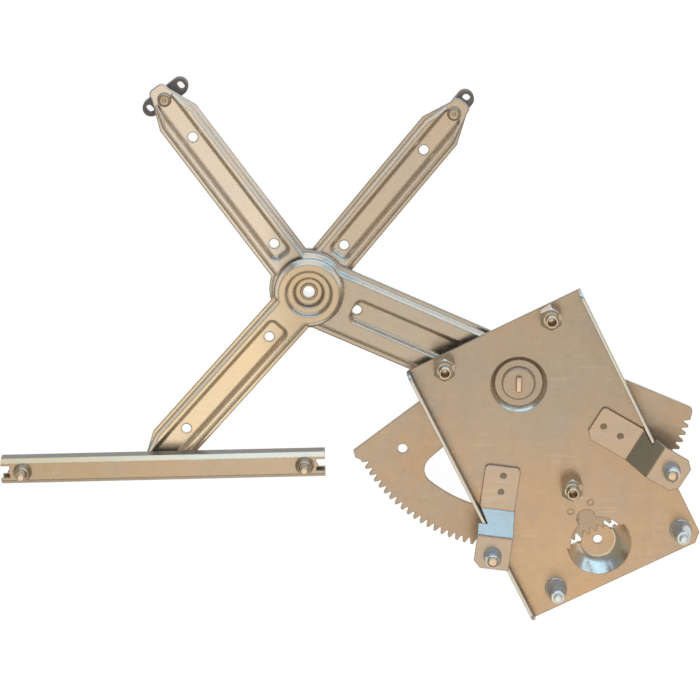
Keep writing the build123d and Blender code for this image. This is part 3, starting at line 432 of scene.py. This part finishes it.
# Painted highlight: a lighter colour on the flanges' top edges.
flange_highlight = plated("flange edge painted highlight", (0.60, 0.55, 0.47), 0.3, 0.85)
clinch_shade = plated("clinch shade", (0.28, 0.20, 0.13), 0.5, 0.4)
# Painted highlight: a lighter colour on the dish slope and the bowl wall.
dish_highlight = plated("dish painted highlight", (0.65, 0.53, 0.40), 0.22, 0.9, soft=0)
# Painted highlight: a lighter colour on the flanks of the arms' ribs.
rib_highlight = plated("rib painted highlight", (0.72, 0.61, 0.48), 0.28, 0.9, soft=1.5 * MM)

# %% Finishes of turned pieces and of plastic
TURNED = {"patch": 60.0, "grain": 1500.0, "bump": 0.005, "scuff": 0.03, "soft": 0}
HEADED = {"patch": 90.0, "grain": 1200.0, "soft": 0}
bright_zinc = plated("bright zinc", (0.66, 0.68, 0.66), 0.24, 0.7, mottle=0.4, **TURNED)
nut_zinc = plated("nut zinc", (0.60, 0.46, 0.32), 0.20, 0.9, mottle=0.5, **TURNED)
rivet_zinc = plated("rivet zinc", (0.43, 0.33, 0.22), 0.28, 0.9, mottle=0.7, scuff=0.05, **HEADED)
bore_zinc = plated(
    "bore zinc", (0.90, 0.88, 0.85), 0.12, 1.0, mottle=0.2, bump=0.005, scuff=0.0, **HEADED
)
head_zinc = plated(
    "pivot head zinc", (0.40, 0.315, 0.235), 0.30, 0.85, 60.0, 1200.0, mottle=0.9, soft=0
)
slider_look = plated(
    "slider plastic", (0.15, 0.115, 0.095), 0.5, 0.0, 70.0, 1200.0, mottle=0.6, bump=0.05,
    scuff=0.05, soft=0.5 * MM,
)

# %% [markdown]
# ## Softened copies of pressed pieces
# The arms, the plate, the sector, the brackets and the rail have the right shape already, but
# sheet metal has rounded bends and edges that catch the light. Each CAD mesh is loose triangles,
# so the copy is first merged by distance and flat groups of triangles are dissolved into single
# faces. A bevel then rounds the bends, and weighted normals keep the wide flats flat in the
# reflections. The copy replaces the node and rides on the same body.


# %% Helpers for pieces that stand for a node
def body_of(node):
    """The body that carries a CAD node."""
    for body, members in frame["record"]["behaviour"]["bodies"].items():
        if node in members:
            return body
    raise ValueError(node)


def stands_for(piece, node):
    """Hides the node that a piece replaces, and puts the piece on the node's body."""
    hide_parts(node)
    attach(piece, body_of(node))


def own_copy(name, mesh):
    """A new object with its own copy of a mesh, the only one selected."""
    bpy.ops.object.select_all(action="DESELECT")
    copy = bpy.data.objects.new(name, mesh.copy())
    bpy.context.collection.objects.link(copy)
    bpy.context.view_layer.objects.active = copy
    copy.select_set(True)
    return copy


# %% Helpers that finish and soften a mesh
SMOOTH_UP_TO = math.radians(32)
RIM_ANGLE = math.radians(35)
BEND_ANGLE = math.radians(38)
FLAT_WITHIN = math.radians(0.6)
MERGE_COPY = 0.002 * MM


def finished(form, look, width, segments=2, angle=RIM_ANGLE):
    """Rounds the edges sharper than an angle, shades by face area and gives the material."""
    bpy.context.view_layer.objects.active = form
    form.select_set(True)
    bpy.ops.object.shade_smooth_by_angle(angle=SMOOTH_UP_TO)
    if width > 0:
        edge = form.modifiers.new("edge", "BEVEL")
        edge.width = width
        edge.segments = segments
        edge.limit_method = "ANGLE"
        edge.angle_limit = angle
        bpy.ops.object.modifier_apply(modifier=edge.name)
    flat = form.modifiers.new("flats", "WEIGHTED_NORMAL")
    flat.keep_sharp = True
    bpy.ops.object.modifier_apply(modifier=flat.name)
    form.data.materials.clear()
    form.data.materials.append(look)


def softened(node, look, width, segments=2, shape=None):
    """A copy of a CAD node: merged, shaped if asked, rounded and given its finish."""
    copy = own_copy(node + "_soft", frame["nodes"][node].data)
    bpy.ops.object.mode_set(mode="EDIT")
    bpy.ops.mesh.select_all(action="SELECT")
    bpy.ops.mesh.remove_doubles(threshold=MERGE_COPY)
    bpy.ops.mesh.dissolve_limited(angle_limit=FLAT_WITHIN)
    bpy.ops.object.mode_set(mode="OBJECT")
    if shape is not None:
        shape(copy)
    finished(copy, look, width, segments, BEND_ANGLE)
    stands_for(copy, node)
    print(node, "softened,", len(copy.data.polygons), "faces")
    return copy


# %% A helper for a second material
def marked(piece, look, test):
    """Gives a second material to the faces that pass a test."""
    piece.data.materials.append(look)
    index = len(piece.data.materials) - 1
    chosen = [polygon for polygon in piece.data.polygons if test(polygon)]
    for polygon in chosen:
        polygon.material_index = index
    print(piece.name, look.name, len(chosen), "faces")


def off_axis(point):
    """How far a point is from the Z axis."""
    return math.hypot(point.x, point.y)


# %% [markdown]
# ## Base plate
# The plate is stamped from 2 mm sheet, with a drawn bowl for the drive and a round dish at the
# lift pivot. The solid's bowl has a straight wall. The real one is curved, so that wall is taken
# out of the copy by deleting its faces, and a curved one follows further on. The slope of the dish
# and the top edge of the flanges catch the light, so these faces get painted highlights: lighter
# colours than the plate.

# %% Where the drive bowl is
DISC, RIM, DEPTH = 10.8 * MM, 20.5 * MM, 8.7 * MM
SHEET, SKIN = 2.0 * MM, 0.77 * MM
OPENING = math.atan2(pivot.y, pivot.x)
HALF_OPEN = math.radians(74)


def from_opening(point):
    """How far a point is turned away from the middle of the bowl's opening."""
    return abs(math.remainder(math.atan2(point.y, point.x) - OPENING, 2 * math.pi))


print("bowl opens towards", round(math.degrees(OPENING), 1), "degrees")


# %% Taking the straight wall out
WALL_SLACK = 0.1 * MM
END_TURN = 0.02
END_LENGTH = 2 * MM


def picked(form, test):
    """Selects just the faces that pass a test, and opens the mesh for editing."""
    bpy.ops.object.mode_set(mode="EDIT")
    bpy.ops.mesh.select_mode(type="FACE")
    bpy.ops.mesh.select_all(action="DESELECT")
    bpy.ops.object.mode_set(mode="OBJECT")
    for polygon in form.data.polygons:
        polygon.select = test(polygon)
    count = sum(polygon.select for polygon in form.data.polygons)
    bpy.ops.object.mode_set(mode="EDIT")
    return count


def without_wall(copy):
    """Deletes the wall's sloped faces and the two narrow ends where the opening cuts it."""
    points = [vertex.co.copy() for vertex in copy.data.vertices]

    def on_wall(polygon):
        corners = [points[index] for index in polygon.vertices]
        radii = [off_axis(corner) for corner in corners]
        inside = min(radii) > DISC - WALL_SLACK and max(radii) < RIM + SKIN + WALL_SLACK
        sloped = 0.3 < abs(polygon.normal.z) < 0.95
        cut = all(abs(from_opening(corner) - HALF_OPEN) < END_TURN for corner in corners)
        return inside and (sloped or (cut and max(radii) - min(radii) > END_LENGTH))

    count = picked(copy, on_wall)
    bpy.ops.mesh.delete(type="FACE")
    bpy.ops.object.mode_set(mode="OBJECT")
    print("faces of the bowl wall taken out:", count)


# %% Base plate
DISH_REACH = 20 * MM
FLANGE_EDGE = 9.5 * MM


def on_dish_slope(face):
    """Whether a face slopes and lies close round the lift pivot."""
    return 0.3 < face.normal.z < 0.98 and (face.center - pivot).xy.length < DISH_REACH


plate = softened("base_plate", plate_zinc, 0.4 * MM, shape=without_wall)
# Painted highlight on the dish slope round the lift pivot.
marked(plate, dish_highlight, on_dish_slope)
# Painted highlight on the flanges' top edges.
marked(plate, flange_highlight, lambda face: face.center.z > FLANGE_EDGE)
print("plate dressed")

# %% [markdown]
# ## Brackets and sector
# The stepped brackets are clinched to the plate: small round floors pressed below the sheet, which
# look darker. They are found by their size and their many corners. The sector was punched and has
# crisp teeth, so its edges get the finest rounding of all.

# %% Brackets and sector
CLINCH_AREA = 13 * MM**2
CLINCH_CORNERS = 8


def on_clinch(face):
    """Whether a face is a small round floor that looks up."""
    small = face.area < CLINCH_AREA and len(face.vertices) > CLINCH_CORNERS
    return small and face.normal.z > 0.95


for node in ("left_bracket", "right_bracket"):
    bracket = softened(node, bracket_zinc, 0.4 * MM)
    marked(bracket, clinch_shade, on_clinch)
softened("sector_gear", sector_zinc, 0.15 * MM, 1)
print("brackets and sector dressed")

# %% [markdown]
# ## Arms, rail and sliders
# The arms are stiffened by a raised rib on each side of a sunk web. The flanks of the ribs shine,
# so they get a painted highlight, a lighter colour, and wide bevels with three segments give them
# soft bends. On the rail the upper bend gets a painted highlight, a bright line, and the back wall
# gets painted shade. The plastic sliders are moulded, with edges as round as the rail's.

# %% Arms
for node, look in (
    ("lift_arm", lift_zinc),
    ("upper_cross_arm", upper_zinc),
    ("lower_cross_arm", lower_zinc),
):
    arm = softened(node, look, 0.6 * MM, 3)
    # The rib flanks, chosen by their slope, get a painted highlight.
    marked(arm, rib_highlight, lambda face: 0.2 < face.normal.z < 0.97)
print("arms dressed")

# %% Rail and sliders
rail = softened("rail", rail_zinc, 0.5 * MM, 3)
# Painted shade on the rail's back wall, chosen by the way its faces look.
marked(rail, rail_wall_shade, lambda face: face.normal.y > 0.85)
# Painted highlight on the rail's upper bend, chosen by the way its faces look.
marked(rail, rail_bend_highlight, lambda face: face.normal.y > 0.2 and face.normal.z > 0.3)
for node in ("left_slider", "right_slider", "lower_slider"):
    softened(node, slider_look, 0.5 * MM, 3)
print("rail and sliders dressed")

# %% [markdown]
# ## Turned pieces
# Studs, pins and the pivot are turned or headed from bar, so each is round about its own axis. By
# hand one would start from a flat disc and pull its face up ring by ring, and the helper does just
# that: it adds a circle, then extrudes and scales the face to each radius and height of a list. A
# small bevel rounds the rims. What repeats is modelled once, and each copy has its own mesh, moved
# to its place.

# %% A helper for turned forms
MERGE_RINGS = 0.001 * MM


def rings_over(level, profile):
    """Rings in metres from radii and heights in millimetres, the heights counted from a level."""
    return [(radius * MM, level + height * MM) for radius, height in profile]


def turned_form(name, rings, look, rim, sides=48):
    """A round form along +Z through (radius, height) pairs in metres, from its foot upwards."""
    bpy.ops.object.select_all(action="DESELECT")
    radius, height = rings[0]
    bpy.ops.mesh.primitive_circle_add(
        vertices=sides, radius=radius, fill_type="NGON", location=(0, 0, height)
    )
    form = bpy.context.object
    form.name = name
    bpy.ops.object.transform_apply(location=True, rotation=True, scale=True)
    bpy.ops.object.mode_set(mode="EDIT")
    bpy.ops.mesh.select_all(action="SELECT")
    for next_radius, next_height in rings[1:]:
        rise = (0, 0, next_height - height)
        bpy.ops.mesh.extrude_region_move(TRANSFORM_OT_translate={"value": rise})
        factor = next_radius / radius
        bpy.ops.transform.resize(value=(factor, factor, 1), center_override=(0, 0, next_height))
        radius, height = next_radius, next_height
    bpy.ops.mesh.select_all(action="SELECT")
    bpy.ops.mesh.remove_doubles(threshold=MERGE_RINGS)
    bpy.ops.mesh.normals_make_consistent(inside=False)
    bpy.ops.object.mode_set(mode="OBJECT")
    finished(form, look, rim)
    return form


# %% Helpers that put forms in place
def lowest(node):
    """The lowest height of a CAD node."""
    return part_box(node)[0][2]


def highest(node):
    """The greatest height of a CAD node."""
    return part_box(node)[1][2]


def planted(form, node, places):
    """Puts a copy of a form at each named place, for a CAD node, and takes the form away."""
    for name, place in places.items():
        copy = own_copy(name, form.data)
        copy.location = (place[0], place[1], 0)
        bpy.ops.object.transform_apply(location=True, rotation=True, scale=True)
        stands_for(copy, node)
    bpy.data.objects.remove(form)
    print(node, "stands at", ", ".join(places))


# %% [markdown]
# ## Collar studs
# Two studs on the plate's lower edge have a convex body that narrows to a collar, with a thin tip
# on top. The body's curve is a power of the height, which stays steep at the foot and draws in
# faster towards the collar.

# %% Collar studs
BODY_STEPS = 8
stud_profile = [(7.2, 0), (7.2, 0.6), (6.9, 1.0)]
for step in range(1, BODY_STEPS + 1):
    swing = step / BODY_STEPS
    stud_profile.append((6.9 - 2.3 * swing**1.8, 1.0 + 13.2 * swing))
stud_profile += [(4.5, 14.8), (4.5, 16.6), (4.1, 17.0), (2.9, 17.1), (2.7, 17.3), (2.7, 19.7)]
stud_profile += [(2.3, 20.3), (1.5, 20.5)]
stud_rings = rings_over(lowest("collar_studs"), stud_profile)
stud = turned_form("collar_stud_form", stud_rings, bright_zinc, 0.25 * MM)
stud_places = {"collar_stud_" + side: mounts["locating_tip_" + side] for side in ("right", "left")}
planted(stud, "collar_studs", stud_places)

# %% [markdown]
# ## Round pins of the brackets and the rail
# The pins on the brackets swell a little and end in a low dome. The studs on the rail are stepped
# and end in a longer nose. Their tips look more golden than their sides, so the top faces near the
# axis get the nuts' finish.

# %% Round pins
TIP_REACH = 4.2 * MM
bracket_profile = [(6.0, 0), (6.0, 0.4), (5.85, 2.0), (5.6, 4.0), (5.3, 6.0), (4.95, 7.6)]
bracket_profile += [(4.5, 9.0), (3.95, 10.0), (3.3, 10.6), (2.4, 10.9), (1.2, 11.0)]
rail_profile = [(5.9, 0), (5.9, 0.7), (5.5, 1.0), (4.9, 1.3), (4.8, 4.8), (4.5, 5.3)]
rail_profile += [(3.7, 5.6), (3.5, 9.5), (3.2, 11.2), (2.5, 12.2), (1.8, 12.5), (1.2, 12.5)]
for node, profile, look, names in (
    ("bracket_pins", bracket_profile, bright_zinc, ("bracket_pin_left", "bracket_pin_right")),
    ("rail_studs", rail_profile, rivet_zinc, ("rail_stud_left", "rail_stud_right")),
):
    pin = turned_form(node + "_form", rings_over(lowest(node), profile), look, 0.2 * MM)
    marked(pin, nut_zinc, lambda face: face.normal.z > 0.6 and off_axis(face.center) < TIP_REACH)
    planted(pin, node, {name: mounts[name] for name in names})

# %% [markdown]
# ## Lift pivot
# The large rivet has a flat head with a rounded rim, and a narrow raised tang across it. The head
# is a turned form. The tang is a small box with rounded edges, joined to the head so that both are
# one piece.

# %% Lift pivot head with its tang
TANG_SIZE = (3.8 * MM, 9.9 * MM, 3.2 * MM)
TANG_ROUND = 0.8 * MM
base = lowest("main_pivot")
top = highest("main_pivot")
head_rings = rings_over(base, [(9.0, 0), (9.0, 2.9), (5.0, 2.9)])
head_rings += rings_over(top, [(5.0, -5.5), (10.7, -5.5), (10.7, -3.9)])
head_rings += rings_over(top, [(10.3, -3.3), (9.6, -3.05), (8.8, -3.0)])
head = turned_form("pivot_head_form", head_rings, head_zinc, 0.2 * MM, 64)
bpy.ops.object.select_all(action="DESELECT")
bpy.ops.mesh.primitive_cube_add(size=1, location=(0, 0, top - TANG_SIZE[2] / 2))
tang = bpy.context.object
tang.scale = TANG_SIZE
bpy.ops.object.transform_apply(location=True, rotation=True, scale=True)
edge = tang.modifiers.new("edge", "BEVEL")
edge.width = TANG_ROUND
edge.segments = 4
bpy.ops.object.modifier_apply(modifier=edge.name)
bpy.ops.object.shade_smooth_by_angle(angle=SMOOTH_UP_TO)
tang.data.materials.append(nut_zinc)
head.select_set(True)
bpy.context.view_layer.objects.active = head
bpy.ops.object.join()
planted(head, "main_pivot", {"lift_pivot": pivot})

# %% [markdown]
# ## Slider pins on the arms' tips
# Each pin is a shank with a flat tail and a low domed head, which has a small pit in the middle
# where the riveting tool pressed. The two pins differ only in the height of the head.


# %% Slider pins
def tip_pin(node, place, head):
    """A pin from the lowest to the highest of its node, with a head of a height in mm."""
    base = lowest(node)
    top = highest(node)
    under = top - head * MM
    rings = rings_over(base, [(4.2, 0), (4.2, 1.2), (2.5, 1.2)])
    rings += rings_over(under, [(2.5, 0), (4.4, 0), (4.4, 0.35 * head), (4.2, 0.62 * head)])
    rings += rings_over(under, [(3.7, 0.82 * head), (2.9, 0.95 * head)])
    rings += rings_over(top, [(2.0, 0), (1.1, 0), (0.8, -0.35)])
    form = turned_form(node + "_form", rings, rivet_zinc, 0.1 * MM)
    planted(form, node, {node + "_turned": place})


tip_pin("left_slider_pin", joints["left_shoe_swivel"]["pos_m"], 2.9)
tip_pin("right_slider_pin", joints["right_shoe_swivel"]["pos_m"], 2.4)

# %% [markdown]
# ## Wall of the drive bowl
# Sheet that is drawn into a bowl keeps a curved wall: steep under the rim, then flatter towards
# the disc in the middle. The wall is turned in 90 sides of 4 degrees each, so that the opening for
# the sector, 148 degrees wide, is cut out by deleting whole sides. The rings go up the back of the
# sheet and down its front, and a bridge between the two ends makes it a shell of its own.


# %% Curved bowl wall
def bored(form):
    """Takes the two end discs off a turned form and bridges their rims, so that it is hollow."""
    picked(form, lambda face: len(face.vertices) > 4)
    bpy.ops.mesh.delete(type="ONLY_FACE")
    bpy.ops.mesh.select_mode(type="EDGE")
    bpy.ops.mesh.select_all(action="DESELECT")
    bpy.ops.mesh.select_non_manifold()
    bpy.ops.mesh.bridge_edge_loops()
    bpy.ops.mesh.select_all(action="SELECT")
    bpy.ops.mesh.normals_make_consistent(inside=False)
    bpy.ops.object.mode_set(mode="OBJECT")


WALL_STEPS = 14
WALL_SIDES = 90
CURVE = 1.4
WALL_SMOOTH = math.radians(40)
shares = [step / WALL_STEPS for step in range(WALL_STEPS + 1)]
back = [(DISC + SKIN + share * (RIM - DISC), share**CURVE * DEPTH - SHEET) for share in shares]
front = [(DISC + share * (RIM - DISC), share**CURVE * DEPTH) for share in shares]
# The bowl wall takes the dish's painted highlight colour.
wall = turned_form("bowl_wall", back + front[::-1], dish_highlight, 0, WALL_SIDES)
bored(wall)
wall.rotation_euler = (0, 0, OPENING + HALF_OPEN)
bpy.ops.object.transform_apply(location=True, rotation=True, scale=True)
print("bowl wall has", len(wall.data.polygons), "faces all round")

# %% Opening for the sector
taken = picked(wall, lambda face: from_opening(face.center) < HALF_OPEN)
bpy.ops.mesh.delete(type="FACE")
bpy.ops.mesh.select_all(action="SELECT")
bpy.ops.mesh.fill_holes(sides=0)
bpy.ops.mesh.normals_make_consistent(inside=False)
bpy.ops.object.mode_set(mode="OBJECT")
bpy.ops.object.shade_smooth_by_angle(angle=WALL_SMOOTH)
plate.select_set(True)
bpy.context.view_layer.objects.active = plate
bpy.ops.object.join()
print("bowl wall joined to the plate,", taken, "faces cut out for the sector")

# %% [markdown]
# ## Nuts
# Each nut is a hexagon whose corners are turned off at the top, with a round boss and a threaded
# hole. A hexagonal cylinder is cut by a turned form for the corners, which leaves the curved
# chamfer lines that a real nut has, and the boss with its hole is a turned form of its own, joined
# to it. The thread is a row of grooves in the wall of the hole.

# %% Hexagon with turned corners
ACROSS_FLATS = 13.0 * MM
HEXAGON_HEIGHT = 13.0 * MM
nut_foot = lowest("hex_standoffs")
nut_shoulder = nut_foot + HEXAGON_HEIGHT
nut_top = highest("hex_standoffs")
bpy.ops.object.select_all(action="DESELECT")
bpy.ops.mesh.primitive_cylinder_add(
    vertices=6,
    radius=ACROSS_FLATS / 2 / math.cos(math.pi / 6),
    depth=HEXAGON_HEIGHT,
    location=(0, 0, (nut_foot + nut_shoulder) / 2),
)
hexagon = bpy.context.object
hexagon.name = "nut_form"
bpy.ops.object.transform_apply(location=True, rotation=True, scale=True)
corner_rings = rings_over(nut_foot, [(8.4, -1.0)])
corner_rings += rings_over(nut_shoulder, [(8.4, -2.8), (7.4, -2.0), (6.3, -1.1), (5.2, -0.4)])
corner_rings += rings_over(nut_shoulder, [(4.3, 0), (2.0, 0)])
cutter = turned_form("corner_cutter", corner_rings, bright_zinc, 0, 64)
rounding = hexagon.modifiers.new("corners", "BOOLEAN")
rounding.operation = "INTERSECT"
rounding.object = cutter
bpy.ops.object.select_all(action="DESELECT")
bpy.context.view_layer.objects.active = hexagon
hexagon.select_set(True)
bpy.ops.object.modifier_apply(modifier=rounding.name)
bpy.data.objects.remove(cutter)
finished(hexagon, nut_zinc, 0.2 * MM)
print("hexagon cut to", len(hexagon.data.polygons), "faces")

# %% Boss with its threaded hole
GROOVES = 14
boss_rings = rings_over(nut_shoulder, [(4.1, -0.5)])
boss_rings += rings_over(nut_top, [(4.1, -0.5), (3.6, 0), (2.9, 0), (2.5, -0.5)])
for groove in range(GROOVES):
    boss_rings += rings_over(nut_top, [(2.25, -0.9 - groove), (2.5, -1.4 - groove)])
boss = turned_form("boss_form", boss_rings, nut_zinc, 0.12 * MM)
bpy.ops.object.select_all(action="DESELECT")
boss.select_set(True)
hexagon.select_set(True)
bpy.context.view_layer.objects.active = hexagon
bpy.ops.object.join()
nut_names = ("nut_upper_left", "nut_upper_right", "nut_lower")
planted(hexagon, "hex_standoffs", {name: mounts[name] for name in nut_names})

# %% [markdown]
# ## Hollow rivet of the hub
# A tube is put through the two halves of the cross arm and its ends are rolled outwards, so its
# mouth is a smooth round lip. The rings go up the outside, over the lip and down the bore. The
# discs that close the bore are deleted and their rims bridged, so one looks right through it. The
# bore is bright where it mirrors the floor.

# %% Hollow rivet
LIP_STEPS = 6
BORE_REACH = 3.6 * MM
low = lowest("hub_eyelet")
high = highest("hub_eyelet")
tube_rings = rings_over(low, [(5.4, 0), (5.6, 0.3), (5.6, 1.3), (4.4, 1.3)])
tube_rings += rings_over(high, [(4.4, -1.3), (5.6, -1.3), (5.6, -0.8)])
for step in range(1, LIP_STEPS + 1):
    swing = math.pi * step / LIP_STEPS
    tube_rings += rings_over(high, [(4.65 + 0.95 * math.cos(swing), 0.8 * math.sin(swing) - 0.8)])
tube_rings += rings_over(high, [(3.45, -1.5), (3.4, -2.5)])
tube_rings += rings_over(low, [(3.4, 0)])
tube = turned_form("hollow_rivet_form", tube_rings, rivet_zinc, 0)
bored(tube)
marked(tube, bore_zinc, lambda face: off_axis(face.center) < BORE_REACH)
planted(tube, "hub_eyelet", {"hollow_rivet": hub})

# %% [markdown]
# ## Small pieces that keep their CAD mesh
# Washers, bushes and the rivets of the sector are plain rings and buttons, mostly hidden, and
# their solids already show all there is to see. They only get a finish.

# %% Small pieces
for node, look in (
    ("pivot_washer", rivet_zinc),
    ("sector_rivets", rivet_zinc),
    ("lower_slider_pin", rivet_zinc),
    ("hub_washer", bright_zinc),
    ("slider_spacer", bright_zinc),
    ("hub_bush", slider_look),
):
    thing = frame["nodes"][node]
    thing.data.materials.clear()
    thing.data.materials.append(look)
print("small pieces have their finish")
